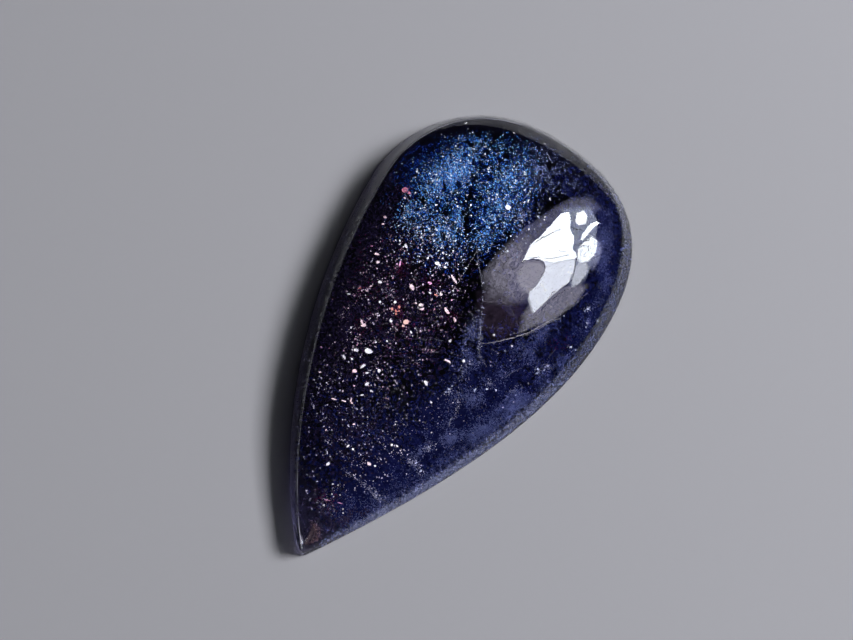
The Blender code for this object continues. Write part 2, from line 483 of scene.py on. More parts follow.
# grains inside the stone. A cloud is, in the photo: centre, half width and half height, turn, share
darkGap = [(500, 128), (492, 144), (484, 156), (479, 170), (470, 190), (466, 210), (467, 236)]
grains = {
    "blueCloud": {
        "seed": 3, "count": 12500, "edge": 0.8, "patch": 7, "gaps": -0.05,
        "clouds": [
            (450, 176, 50, 26, -38, 1.0), (430, 190, 56, 48, -38, 0.16), (450, 172, 32, 15, -48, 0.75),
            (412, 212, 20, 10, -30, 0.16), (442, 230, 36, 17, 14, 0.34), (500, 205, 25, 38, 20, 0.55),
            (484, 234, 9, 18, 0, 0.16), (510, 174, 32, 36, 10, 0.45), (478, 141, 34, 8, 4, 0.12),
            (458, 215, 10, 14, 0, 0.12),
        ],
        "clear": [(darkGap, 2.7)],
        "reach": (0.016, 0.044), "depth": (0.15, 0.6), "spread": 0.15, "gloss": 0.2,
        "colours": [
            (0.01, 0.06, 0.28), (0.03, 0.17, 0.62), (0.07, 0.38, 1.0), (0.24, 0.72, 1.0), (1.0, 1.0, 1.0),
        ],
    },
    "greyCloud": {
        "seed": 4, "count": 2800, "edge": 0.8, "patch": 7, "gaps": 0.1,
        "clouds": [(543, 168, 30, 32, 20, 1.0), (522, 215, 26, 22, -20, 0.4), (575, 185, 26, 26, 0, 0.1)],
        "clear": [(darkGap, 5.0)],
        "reach": (0.016, 0.040), "depth": (0.2, 0.7), "spread": 0.2,
        "colours": [(0.05, 0.065, 0.18), (0.14, 0.18, 0.38), (0.60, 0.68, 0.90)],
    },
    "silverFringe": {
        "seed": 5, "count": 800,
        "clouds": [(437, 245, 44, 26, 12, 1.0), (420, 225, 30, 16, 0, 0.3), (500, 252, 22, 18, 0, 0.16)],
        "clear": [(darkGap, 3.0)],
        "reach": (0.016, 0.048), "depth": (0.15, 0.5), "spread": 0.25,
        "colours": [(0.14, 0.25, 0.52), (0.45, 0.62, 0.90), (0.95, 0.97, 1.0)],
    },
    "sparks": {
        "seed": 6, "count": 420,
        "clouds": [(450, 178, 52, 30, -40, 1.0), (505, 200, 40, 44, 20, 1.0), (440, 245, 46, 26, 10, 0.9)],
        "reach": (0.026, 0.070), "depth": (0.08, 0.14), "spread": 0.15, "gloss": 0.5,
        "colours": [(0.85, 0.95, 1.0), (1.0, 1.0, 1.0)],
    },
    "blueHaze": {
        "seed": 7, "count": 5200, "patch": 16, "gaps": 0.0,
        "clouds": [
            (447, 178, 50, 28, -40, 1.0), (500, 195, 34, 50, 20, 1.0), (412, 165, 22, 34, 40, 0.3),
            (440, 248, 52, 26, 12, 0.4),
        ],
        "clear": [(darkGap, 2.7)],
        "reach": (0.03, 0.07), "depth": (0.5, 0.8), "spread": 0.3,
        "colours": [(0.01, 0.04, 0.26), (0.02, 0.09, 0.40)],
    },
    "navyVeil": {
        "seed": 14, "count": 23000, "edge": 0.8, "even": True, "margin": 0.05 * mm,
        "clouds": [
            (500, 382, 84, 46, -32, 1.2), (440, 440, 70, 44, -32, 1.0), (380, 482, 58, 34, -25, 0.7),
            (352, 440, 54, 70, 0, 0.4), (592, 320, 26, 60, 25, 0.6), (350, 512, 26, 20, -20, 0.12),
            (606, 240, 14, 60, 0, 0.35), (420, 360, 66, 80, 0, 0.13), (572, 188, 30, 26, 0, 0.05),
        ],
        "reach": (0.05, 0.13), "depth": (0.6, 0.95), "spread": 0.1,
        "colours": [(0.013, 0.018, 0.078), (0.016, 0.022, 0.090)],
    },
    "plumVeil": {
        "seed": 17, "count": 11000, "edge": 0.8, "even": True, "margin": 0.05 * mm,
        "clouds": [
            (345, 330, 40, 120, 12, 1.0), (400, 300, 70, 90, 10, 1.0), (385, 220, 30, 50, 30, 0.4),
            (350, 430, 50, 60, 0, 0.5),
        ],
        "reach": (0.05, 0.12), "depth": (0.6, 0.95), "spread": 0.1,
        "colours": [(0.027, 0.020, 0.043), (0.040, 0.029, 0.062)],
    },
    "underWindow": {
        "seed": 18, "count": 900, "edge": 0.8, "patch": 60, "gaps": -0.3,
        "clouds": [(553, 266, 40, 56, 33, 1.0)],
        "reach": (0.15, 0.3), "depth": (0.9, 1.2), "spread": 0.05,
        "colours": [(0.016, 0.022, 0.085), (0.018, 0.024, 0.092)],
    },
    "paleFlecks": {
        "seed": 8, "count": 1300, "patch": 14, "gaps": 0.3,
        "clouds": [(398, 288, 54, 60, 15, 1.0), (380, 345, 54, 52, 10, 0.7), (448, 300, 26, 60, 10, 0.3)],
        "reach": (0.018, 0.058), "depth": (0.12, 0.35), "spread": 0.3, "gloss": 0.5,
        "colours": [(0.40, 0.16, 0.26), (0.80, 0.52, 0.64), (1.0, 0.84, 0.92), (1.0, 0.97, 1.0)],
    },
    "paleDust": {
        "seed": 15, "count": 1500, "patch": 12, "gaps": 0.3,
        "clouds": [(400, 290, 58, 66, 15, 1.0), (380, 350, 56, 56, 10, 0.7), (448, 300, 26, 60, 10, 0.4)],
        "reach": (0.010, 0.022), "depth": (0.12, 0.4), "spread": 0.3,
        "colours": [(0.40, 0.28, 0.36), (0.80, 0.70, 0.76)],
    },
    "lowerFlecks": {
        "seed": 9, "count": 1250, "patch": 14, "gaps": 0.35,
        "clouds": [
            (360, 410, 58, 50, 10, 1.0), (335, 465, 34, 42, 10, 0.36), (420, 400, 50, 56, 10, 0.5),
            (380, 465, 40, 26, -20, 0.3), (322, 500, 16, 26, 0, 0.08), (325, 390, 14, 60, 12, 0.2),
            (500, 370, 46, 30, -30, 0.16),
        ],
        "reach": (0.016, 0.048), "depth": (0.12, 0.35), "spread": 0.3, "gloss": 0.5,
        "colours": [(0.22, 0.20, 0.30), (0.60, 0.56, 0.70), (0.98, 0.94, 1.0)],
    },
    "redHaze": {
        "seed": 10, "count": 3600, "edge": 0.7,
        "clouds": [
            (398, 300, 56, 70, 10, 7.0),
            (401, 266, 9, 12, 0, 1.0), (430, 284, 12, 9, 0, 1.0), (365, 288, 16, 9, 10, 1.0),
            (398, 310, 10, 9, 0, 1.0), (406, 323, 10, 8, 0, 0.9), (364, 325, 13, 10, 0, 0.9),
            (452, 318, 9, 11, 0, 0.6), (325, 500, 13, 15, 0, 1.3), (405, 190, 9, 7, 0, 0.8),
            (560, 342, 14, 8, -20, 0.5), (360, 252, 18, 20, 0, 0.6),
        ],
        "reach": (0.012, 0.022), "depth": (0.4, 0.7), "spread": 0.4,
        "colours": [(0.22, 0.02, 0.07), (0.45, 0.06, 0.18)],
    },
    "milk": {
        "seed": 11, "count": 40000, "sides": 4, "margin": 0.05 * mm, "edge": 0.8, "patch": 13, "gaps": 0.3,
        "clouds": [
            (513, 407, 20, 13, -38, 3.6), (487, 431, 22, 13, -38, 1.2), (448, 436, 26, 16, -10, 0.8),
            (470, 400, 34, 26, -30, 1.1), (546, 330, 16, 9, -30, 0.6), (533, 358, 14, 16, 0, 0.6),
            (554, 372, 22, 12, -45, 1.4), (472, 340, 10, 26, 12, 0.8), (465, 362, 16, 13, 0, 0.5),
            (588, 322, 14, 22, 35, 0.6), (410, 470, 34, 18, -25, 0.6), (380, 498, 26, 9, -25, 0.3),
            (604, 243, 9, 30, 5, 2.0), (500, 375, 40, 26, -30, 0.6), (562, 370, 26, 7, -45, 0.9),
            (520, 412, 30, 7, -42, 0.9), (455, 455, 34, 7, -33, 0.6), (592, 205, 12, 10, 30, 0.4),
            (604, 288, 7, 18, 25, 0.5), (370, 430, 60, 40, -10, 0.5), (580, 350, 24, 5, -50, 0.6),
            (350, 505, 30, 14, -25, 0.35), (525, 345, 22, 8, -30, 0.5),
        ],
        "reach": (0.018, 0.042), "depth": (0.4, 0.75), "spread": 0.2,
        "colours": [(0.055, 0.072, 0.19), (0.10, 0.125, 0.29), (0.17, 0.20, 0.39)],
    },
    "paleMilk": {
        "seed": 19, "count": 5400, "sides": 4, "margin": 0.05 * mm, "edge": 0.8, "patch": 5, "gaps": 0.3,
        "clouds": [
            (517, 409, 15, 8, -38, 1.0), (485, 427, 19, 9, -30, 1.2), (558, 380, 9, 5, -50, 0.4),
            (528, 353, 5, 4, 0, 0.2), (545, 330, 10, 5, -30, 0.1), (452, 438, 15, 8, -20, 0.6),
            (420, 452, 13, 6, -30, 0.3), (474, 398, 12, 9, 0, 0.5),
        ],
        "reach": (0.016, 0.036), "depth": (0.3, 0.5), "spread": 0.2,
        "colours": [(0.10, 0.125, 0.28), (0.18, 0.215, 0.40)],
    },
    "veinDust": {
        "seed": 13, "count": 2300, "edge": 0.8, "patch": 3, "gaps": 0.3,
        "clouds": [
            (478, 258, 1.5, 20, -8, 0.2), (483, 298, 2, 24, 0, 0.25), (480, 338, 2.5, 26, 2, 0.5),
            (470, 330, 8, 26, 12, 0.9), (462, 372, 7, 18, 20, 0.5), (458, 402, 3, 18, 8, 0.4),
            (352, 476, 14, 2.5, 36, 0.35), (368, 487, 8, 3, 36, 0.4), (375, 494, 3, 8, -20, 0.4),
            (386, 501, 12, 4, 25, 0.5), (412, 462, 7, 5, 30, 0.4), (420, 471, 8, 4, 60, 0.35),
            (429, 447, 7, 5, -40, 0.4), (490, 384, 6, 5, 0, 0.25), (514, 390, 9, 3, -30, 0.2),
            (388, 293, 7, 8, 20, 0.3), (538, 370, 4, 5, 0, 0.4), (548, 367, 5, 3, 30, 0.35),
            (449, 392, 6, 4, 0, 0.3), (588, 309, 4, 2, 0, 0.25), (599, 322, 3, 2, -30, 0.15),
            (588, 324, 2, 3, 0, 0.15), (570, 347, 4, 2, 20, 0.25),
        ],
        "reach": (0.012, 0.030), "depth": (0.12, 0.3), "spread": 0.5,
        "colours": [(0.20, 0.22, 0.36), (0.50, 0.52, 0.68), (0.90, 0.92, 1.0)],
    },
    "tipMist": {
        "seed": 12, "count": 1800, "edge": 0.8, "patch": 10, "margin": 0.05 * mm,
        "clouds": [(322, 512, 26, 28, -10, 1.0), (345, 519, 30, 10, -22, 0.7), (316, 534, 12, 14, -20, 1.4)],
        "reach": (0.03, 0.06), "depth": (0.3, 0.7), "spread": 0.2,
        "colours": [(0.030, 0.025, 0.060), (0.060, 0.048, 0.080)],
    },
    "tipRust": {
        "seed": 16, "count": 260, "edge": 0.8, "patch": 10, "margin": 0.05 * mm,
        "clouds": [(316, 532, 4, 12, -22, 1.0), (313, 541, 6, 4, 0, 0.4)],
        "reach": (0.02, 0.05), "depth": (0.15, 0.25), "spread": 0.3,
        "colours": [(0.11, 0.060, 0.070), (0.16, 0.10, 0.11)],
    },
}
for name, own in grains.items():
    v = complete(usual, own, ("reach", "depth"))
    rng = np.random.default_rng(v["seed"])
    spots = scatter(rng, v)
    small, large = v["reach"]
    reach = small + (large - small) * rng.uniform(0, 1, len(spots)) ** 2  # most are small
    places = underDome(spots, rng.uniform(*v["depth"], len(spots)))
    shape = flakes(places, reach, rng, v["spread"], rng.uniform(*v["longer"], len(spots)), sides=v["sides"])
    addPiece(name, [shape], grainMaterial(name, v["colours"], gloss=v["gloss"]))
    print(name, len(spots), "grains")


# milky grains behind the wall
usualHaze = {
    "low": 0.2,  # nearer to 1 fewer grains sink towards the back
    "patches": (22, 2.5),  # of the noise that thins them out: in a stretch of the edge, and up the wall
    "barest": -0.6, "gaps": 0.3,
    "fade": 0.25,  # of a stretch, at both ends
    "clearance": 1.3,  # from the flat back, as a share of the largest grain
    "spread": 0.6,
}
# along the edge in stretches from the nose, up in shares of the wall's height, and behind the wall
edgeHaze = {
    "right": {
        "seed": 30, "count": 9000, "low": 0.6,
        "along": (2.1, 3.4), "up": (0.06, 1.05), "behind": (0.08, 0.35),
        "reach": (0.03, 0.08), "colours": [(0.030, 0.040, 0.12), (0.075, 0.09, 0.20)],
    },
    "lowerRight": {
        "seed": 31, "count": 11000, "low": 0.4,
        "along": (3.1, 4.0), "up": (0.06, 1.0), "behind": (0.08, 0.40),
        "reach": (0.03, 0.08), "colours": [(0.11, 0.125, 0.24), (0.23, 0.255, 0.40)],
    },
    "lowerRightInner": {
        "seed": 33, "count": 9000,
        "along": (3.1, 3.98), "up": (0.45, 1.1), "behind": (0.2, 1.5),
        "reach": (0.02, 0.06), "colours": [(0.05, 0.06, 0.16), (0.13, 0.15, 0.30)],
    },
    "left": {
        "seed": 32, "count": 2500,
        "along": (0.05, 1.1), "up": (0.15, 0.9), "behind": (0.1, 0.3),
        "reach": (0.03, 0.07), "colours": [(0.25, 0.235, 0.31), (0.36, 0.34, 0.43)],
    },
}


def aroundEdge(at, sizes):
    return np.interp(at, alongEdge, sizes)


for name, own in edgeHaze.items():
    v = complete(usualHaze, own, ("reach", "behind"))
    rng = np.random.default_rng(v["seed"])
    at, up, behind = (rng.uniform(*v[k], v["count"]) for k in ("along", "up", "behind"))
    # more of them lie low, and close behind the wall
    up = v["up"][0] + (up - v["up"][0]) * rng.uniform(v["low"], 1, len(up))
    behind = v["behind"][0] + (behind - v["behind"][0]) * rng.uniform(0, 1, len(up))
    wide, high = v["patches"]
    patches = np.array([noise.noise((a * wide, b * high, v["seed"])) for a, b in zip(at, up)])
    kept = patches > rng.uniform(v["barest"], v["gaps"], len(at))
    start, end = v["along"]
    kept &= smoothStep(np.minimum(at - start, end - at) / v["fade"]) > rng.uniform(0, 1, len(at))
    at, up, behind = at[kept], up[kept], behind[kept]
    inset = aroundEdge(at, run) * up + behind
    x, y = (aroundEdge(at, outline[:, k]) + aroundEdge(at, inward[:, k]) * inset - mid[k] for k in (0, 1))
    z = np.maximum(aroundEdge(at, top) * up, v["clearance"] * v["reach"][1])
    shape = flakes(np.column_stack([x, y, z]), rng.uniform(*v["reach"], len(at)), rng, v["spread"])
    addPiece(name + "EdgeHaze", [shape], grainMaterial(name + "EdgeHaze", v["colours"], gloss=0))
    print(name, "edge haze", len(at), "grains")


# the flecks that stand out, in the photo: x, y, half length, half width, turn
flecks = {
    "whiteFlecks": {
        "colours": [(0.90, 0.88, 0.90), (1.0, 1.0, 1.0)],
        "at": [
            (508, 207, 3.6, 3.4, 0), (406, 246, 3.0, 2.2, -60), (438, 264, 4.2, 2.4, -25),
            (445, 267, 2.2, 1.5, -20), (443, 253, 1.9, 1.9, 0), (428, 258, 1.5, 1.5, 0),
            (380, 282, 3.2, 2.2, 10), (395, 302, 2.1, 1.8, 0), (430, 293, 2.0, 1.8, 0),
            (453, 291, 1.4, 1.4, 0), (368, 351, 5.6, 3.2, -12), (344, 357, 3.0, 1.8, -50),
            (352, 359, 1.8, 1.6, 0), (363, 366, 4.4, 1.5, 30), (379, 371, 2.6, 2.2, 70),
            (367, 373, 2.4, 1.3, 0), (356, 350, 3.0, 2.2, -10), (376, 342, 1.6, 1.5, 0),
            (387, 341, 1.5, 1.5, 0), (411, 332, 2.1, 1.4, -60), (426, 383, 3.6, 2.2, -65),
            (431, 402, 1.8, 1.4, -50), (450, 341, 1.7, 1.7, 0), (464, 361, 1.9, 1.8, 0),
            (494, 335, 1.9, 1.7, 0), (512, 346, 1.4, 1.4, 0), (328, 464, 3.0, 1.6, 40),
            (348, 446, 2.4, 1.2, 40), (353, 449, 1.4, 1.4, 0), (392, 445, 1.6, 1.6, 0),
            (397, 446, 1.8, 1.2, -40), (375, 466, 1.5, 1.3, 0), (333, 484, 1.0, 1.0, 0),
            (338, 485, 1.1, 0.8, 0), (332, 494, 0.9, 0.9, 0), (340, 495, 0.9, 0.9, 0),
            (324, 505, 1.2, 0.9, 40), (343, 509, 1.2, 0.9, 60), (343, 513, 1.1, 0.8, 0),
            (380, 302, 2.0, 1.4, 70), (349, 294, 2.8, 1.0, -10), (391, 321, 2.6, 1.8, -30),
            (550, 199, 2.0, 1.0, 70), (529, 229, 1.8, 0.9, 70), (545, 217, 1.5, 1.0, 30),
            (471, 205, 1.5, 1.4, 0), (436, 205, 1.8, 1.4, 0), (417, 171, 1.5, 1.3, 0),
            (466, 123, 3.0, 1.2, 40), (514, 133, 1.8, 0.9, -60), (545, 144, 2.2, 0.7, -5),
            (367, 384, 2.8, 1.8, 20), (362, 395, 2.6, 0.9, 10), (371, 391, 1.8, 1.5, 0),
        ],
    },
    "blueFlecks": {
        "colours": [(0.46, 0.52, 0.76), (0.76, 0.82, 0.98)],
        "at": [
            (588, 309, 1.9, 0.8, 10), (585, 311, 1.2, 0.8, 0), (587, 323, 1.2, 1.0, 0),
            (586, 327, 1.0, 0.8, 0), (598, 321, 1.6, 0.8, -30), (571, 347, 2.2, 0.8, 15),
            (576, 350, 1.3, 0.7, 0), (538, 369, 1.8, 1.2, -50), (537, 373, 1.6, 1.0, 20),
            (548, 366, 1.9, 1.0, 30), (544, 370, 1.2, 0.9, 0), (564, 316, 1.1, 1.0, 0),
            (449, 389, 2.0, 1.4, 0), (452, 386, 1.2, 0.8, 40), (446, 392, 1.2, 1.0, 0),
            (475, 390, 3.0, 1.0, 60), (496, 390, 1.6, 1.2, -20), (487, 389, 1.6, 1.0, 0),
            (516, 395, 1.2, 0.8, 30), (416, 463, 2.2, 1.0, 40), (421, 471, 1.8, 1.0, 70),
            (429, 447, 1.4, 0.8, -40), (505, 351, 1.2, 0.9, 0), (470, 364, 1.2, 0.8, 0),
        ],
    },
    "roseFlecks": {
        "colours": [(0.90, 0.62, 0.66), (0.98, 0.80, 0.82)],
        "at": [
            (412, 287, 5.0, 3.0, -68), (377, 254, 3.4, 2.0, -8), (421, 305, 3.0, 2.2, 0),
            (422, 309, 3.6, 1.8, 10), (416, 303, 1.6, 1.1, 0), (454, 279, 6.2, 1.6, -58),
            (447, 311, 5.6, 2.4, -58), (455, 320, 3.4, 1.6, -70), (364, 325, 3.6, 2.4, 20),
            (362, 322, 1.4, 3.2, 20), (369, 464, 3.0, 2.0, -30), (355, 371, 3.6, 2.6, -10),
            (448, 361, 4.6, 1.6, -18), (378, 262, 2.8, 2.0, 0), (385, 217, 2.6, 1.6, -20),
            (371, 286, 2.4, 1.0, 10), (367, 291, 2.8, 0.9, 0), (441, 294, 1.6, 2.4, 0),
            (383, 224, 1.8, 1.2, 0), (405, 198, 2.2, 1.2, -10), (320, 372, 1.6, 1.1, 30),
            (354, 424, 1.8, 1.2, 0), (326, 430, 1.6, 1.0, 40), (334, 399, 4.0, 0.9, -8),
            (344, 401, 3.6, 0.9, -12), (351, 400, 2.4, 1.0, 60), (352, 403, 1.6, 1.0, 0),
        ],
    },
    "magentaFlecks": {
        "colours": [(0.75, 0.25, 0.50), (0.90, 0.50, 0.75)],
        "at": [
            (400, 264, 4.6, 1.6, 85), (430, 283, 3.0, 2.1, 0), (397, 264, 1.4, 1.4, 0),
            (327, 500, 3.6, 0.5, -12), (340, 503, 3.4, 0.55, -18), (452, 300, 1.6, 1.0, 0),
            (372, 246, 1.4, 1.0, 0),
        ],
    },
    "salmonFleck": {
        "colours": [(0.92, 0.50, 0.42), (0.97, 0.62, 0.53)],
        "at": [(406, 322, 4.4, 3.2, -10), (403, 326, 2.2, 1.4, 0)],
    },
    "dullRoseFleck": {
        "colours": [(0.38, 0.10, 0.17), (0.45, 0.14, 0.22)],
        "at": [(405, 190, 5.4, 4.0, -20), (409, 193, 3.0, 2.2, -40)],
    },
    "copperFlecks": {
        "colours": [(0.50, 0.06, 0.04), (0.85, 0.32, 0.24)],
        "at": [
            (399, 307, 2.2, 2.0, 0), (396, 311, 2.2, 1.6, -50), (392, 309, 1.8, 2.0, 0),
            (399, 311, 1.3, 1.3, 0), (396, 314, 1.4, 1.0, 0), (436, 295, 3.0, 0.9, -20),
            (360, 288, 2.0, 0.8, 10),
        ],
    },
}
fleckLook = {
    "size": 0.82,  # the halves above take in each fleck's soft edge
    "depth": (0.08, 0.13),  # in mm
    "spread": 0.1,
    "sides": 7,
}
for name, v in flecks.items():
    x, y, long, wide, turn = np.array(v["at"], float).T
    rng = np.random.default_rng(len(x))
    places = underDome(np.column_stack([x, y]), rng.uniform(*fleckLook["depth"], len(x)) * mm)
    turned = turn + camera["azimuth"] + camera["roll"]
    reach = wide * pixel * fleckLook["size"]
    shape = flakes(places, reach, rng, fleckLook["spread"], long / wide, turned, fleckLook["sides"])
    addPiece(name, [shape], grainMaterial(name, v["colours"]))
print("flecks placed")


# from nearly 0 at both ends, more where they are blunt, to 1 half way
def tapered(count, blunt):
    return np.sin(np.linspace(blunt, math.pi - blunt, count)) ** 0.5


# fine cracks and veins: places in the photo, half width, depth
cracks = {
    "seed": 21,  # the surface lines draw on from it
    "colours": [(0.06, 0.065, 0.10), (0.16, 0.17, 0.23)],
    "wander": 0.007 * mm,
    "varies": (0.55, 1.3),
    "blunt": 0.15,
    "paths": [
        ([(476, 241), (478, 262), (482, 281), (483, 292)], 0.008 * mm, 0.15 * mm),
        ([(483, 296), (482, 310), (481, 322), (480, 345), (480, 362)], 0.010 * mm, 0.15 * mm),
        ([(479, 352), (482, 360), (487, 367)], 0.014 * mm, 0.15 * mm),
        ([(459, 392), (458, 404), (456, 418)], 0.012 * mm, 0.2 * mm),
        ([(453, 417), (450, 421), (449, 427)], 0.030 * mm, 0.1 * mm),
        ([(342, 469), (348, 475), (357, 479), (364, 486), (370, 489)], 0.007 * mm, 0.2 * mm),
        ([(370, 489), (376, 498), (386, 501), (390, 507)], 0.012 * mm, 0.2 * mm),
        ([(412, 276), (417, 278)], 0.03 * mm, 0.2 * mm),
        ([(417, 338), (424, 340)], 0.026 * mm, 0.2 * mm),
        ([(434, 339), (443, 341)], 0.026 * mm, 0.2 * mm),
        ([(405, 195), (408, 200), (412, 205)], 0.04 * mm, 0.2 * mm),
        ([(397, 223), (403, 214), (407, 208)], 0.014 * mm, 0.2 * mm),
        ([(547, 152), (551, 160), (552, 164)], 0.018 * mm, 0.15 * mm),
        ([(403, 232), (410, 244), (413, 250)], 0.014 * mm, 0.2 * mm),
        ([(548, 358), (556, 349)], 0.014 * mm, 0.2 * mm),
        ([(505, 378), (512, 372), (522, 368)], 0.012 * mm, 0.2 * mm),
    ],
}
rng = np.random.default_rng(cracks["seed"])
shapes = []
for path, half, depth in cracks["paths"]:
    centres = underDome(roundedPath(path), depth)
    n = len(centres)
    centres += rng.normal(0, cracks["wander"], centres.shape)
    halfWidths = half * tapered(n, cracks["blunt"]) * rng.uniform(*cracks["varies"], n)
    shapes.append(strip(centres, np.tile(sheen, (n, 1)), halfWidths))
addPiece("cracks", shapes, grainMaterial("cracks", cracks["colours"]))


# lines on the polished surface: places in the photo, half width. The pale, faint and rust ones are rubbed
# into it; the dark ones are painted reflection, the dark bars and folds of the mirrored window
surfaceLines = {
    "pale": {
        "colours": [(0.21, 0.205, 0.24), (0.35, 0.34, 0.38)],
        "paths": [
            ([(482, 344), (496, 342), (512, 338), (528, 333)], 0.009 * mm),
            ([(502, 340), (516, 337), (530, 332), (542, 325), (557, 317)], 0.018 * mm),
            ([(522, 337), (534, 332), (545, 325), (554, 320), (562, 318)], 0.008 * mm),
            ([(510, 335), (522, 331), (535, 325)], 0.006 * mm),
            ([(556, 317), (568, 309), (578, 302), (588, 292)], 0.005 * mm),
        ],
    },
    "faint": {
        "colours": [(0.06, 0.055, 0.07), (0.11, 0.10, 0.13)],
        "paths": [
            ([(484, 301), (490, 303), (497, 300), (505, 303), (511, 309), (516, 318), (518, 328)], 0.01 * mm),
            ([(505, 304), (508, 313), (515, 316)], 0.008 * mm),
            ([(483, 327), (495, 328), (505, 329)], 0.006 * mm),
            ([(520, 316), (530, 313), (536, 316), (531, 323), (521, 333)], 0.010 * mm),
        ],
    },
    # painted reflection: dark bars and folds of the mirrored window, drawn as fine dark lines on the dome
    "dark": {
        "colours": [(0.012, 0.012, 0.018), (0.022, 0.022, 0.030)],
        "paths": [
            ([(529, 248), (538, 240), (548, 235), (558, 230), (564, 228)], 0.018 * mm),
            ([(521, 263), (528, 258), (538, 257), (551, 259), (564, 256), (573, 253)], 0.014 * mm),
            ([(558, 249), (561, 252), (565, 251)], 0.016 * mm),
            ([(569, 226), (575, 229), (582, 230)], 0.022 * mm),
            ([(578, 251), (576, 261), (574, 273), (571, 283)], 0.022 * mm),
            ([(574, 245), (579, 245), (584, 241), (591, 240)], 0.016 * mm),
            ([(579, 248), (584, 245), (589, 246), (588, 251), (583, 255)], 0.012 * mm),
            ([(538, 313), (545, 306), (553, 298), (565, 290), (573, 288)], 0.016 * mm),
            ([
                (520, 273), (523, 263), (531, 259), (540, 261), (545, 266), (544, 273), (538, 280),
                (531, 283),
            ], 0.008 * mm),
            ([(547, 301), (552, 292), (556, 291)], 0.014 * mm),
        ],
    },
    "rust": {
        "colours": [(0.022, 0.015, 0.022), (0.034, 0.024, 0.032)],
        "paths": [
            ([(306, 544), (309, 538), (313, 530)], 0.10 * mm),
            ([(311, 542), (314, 536), (316, 530)], 0.03 * mm),
            ([(315, 541), (317, 536), (317, 528)], 0.02 * mm),
        ],
    },
}
lineLook = {
    "lift": 0.003 * mm,
    "wander": 0.25,  # in pixels
    "varies": (0.6, 1.2),
    "blunt": 0.1,
    "roughness": 0.6,
}
for name, v in surfaceLines.items():
    shapes = []
    for path, half in v["paths"]:
        spots = roundedPath(path)
        n = len(spots)
        at, _, normal = onDome(spots + rng.normal(0, lineLook["wander"], (n, 2)))
        halfWidths = half * (tapered(n, lineLook["blunt"]) * rng.uniform(*lineLook["varies"], n))
        shapes.append(strip(at + normal * lineLook["lift"], normal, halfWidths))
    material = grainMaterial(name + "Surface", v["colours"], lineLook["roughness"], 0)
    addPiece(name + "SurfaceLines", shapes, material)


# the ridge round the dome: a lighter strip along it, a painted highlight for the thin reflection the rounded
# ridge throws back
ridgeHighlight = {
    "inward": 0.02 * mm, "lift": 0.003 * mm,
    "from": -0.8, "to": 2.1,  # in stretches, where those below 0 are the nose
    "halfWidth": [(-1, 0.05 * mm), (0, 0.022 * mm), (0.6, 0.03 * mm), (1.2, 0.07 * mm)],
    "patches": (14, 0.5),  # of the noise that varies its width: how many to a stretch, and which row of it
    "share": 0.75, "varies": 0.7,  # of the half width: what is always there, and what the noise adds or takes
    "fade": 0.25,  # of a stretch, at both ends
    "roughness": 0.5,
    "colours": [(0.13, 0.13, 0.16), (0.21, 0.205, 0.24)],
}
nosePoints = finePoints[-1]
place = np.roll(alongEdge, nosePoints)  # the nose comes last in the outline, and first here
place[:nosePoints] -= len(finePoints)
highlit = (place > ridgeHighlight["from"]) & (place < ridgeHighlight["to"])
place = place[highlit]
xy = np.roll(rim[:, :2] + inward * ridgeHighlight["inward"], nosePoints, axis=0)[highlit] - mid
normal = surfaceNormal(xy)
centres = np.column_stack([xy, domeHeight(xy + mid)]) + normal * ridgeHighlight["lift"]
patches, row = ridgeHighlight["patches"]
highlightNoise = np.array([noise.noise((p * patches, row, 0)) for p in place])
ends = np.clip(np.minimum(place - ridgeHighlight["from"], ridgeHighlight["to"] - place) / ridgeHighlight["fade"], 0, 1)
halfWidths = np.interp(place, *np.array(ridgeHighlight["halfWidth"]).T)
halfWidths *= (ridgeHighlight["share"] + ridgeHighlight["varies"] * highlightNoise) * ends
# its colours paint the ridge's highlight onto a dull strip
material = grainMaterial("ridgeHighlight", ridgeHighlight["colours"], ridgeHighlight["roughness"])
addPiece("ridgeHighlight", [strip(centres, normal, halfWidths)], material)
print("lines drawn")


# the floor
floorLook = {"size": 400 * mm, "height": -0.02 * mm, "colour": (0.22, 0.22, 0.24), "roughness": 0.9}
bpy.ops.mesh.primitive_plane_add(size=floorLook["size"], location=(0, 0, floorLook["height"]))
floor = bpy.context.object
floor.name = "floor"
m = bpy.data.materials.new("floor")
m.use_nodes = True
shader = m.node_tree.nodes["Principled BSDF"]
shader.inputs["Base Color"].default_value = (*floorLook["colour"], 1)
shader.inputs["Roughness"].default_value = floorLook["roughness"]
floor.data.materials.append(m)
print("floor laid")


# what the dome mirrors: panes that only reflections see
streaks = {"Scale": 22, "Detail": 5, "Distortion": 1.2}  # the noise that makes a pane patchy
streakLevels = (0.35, 0.65)


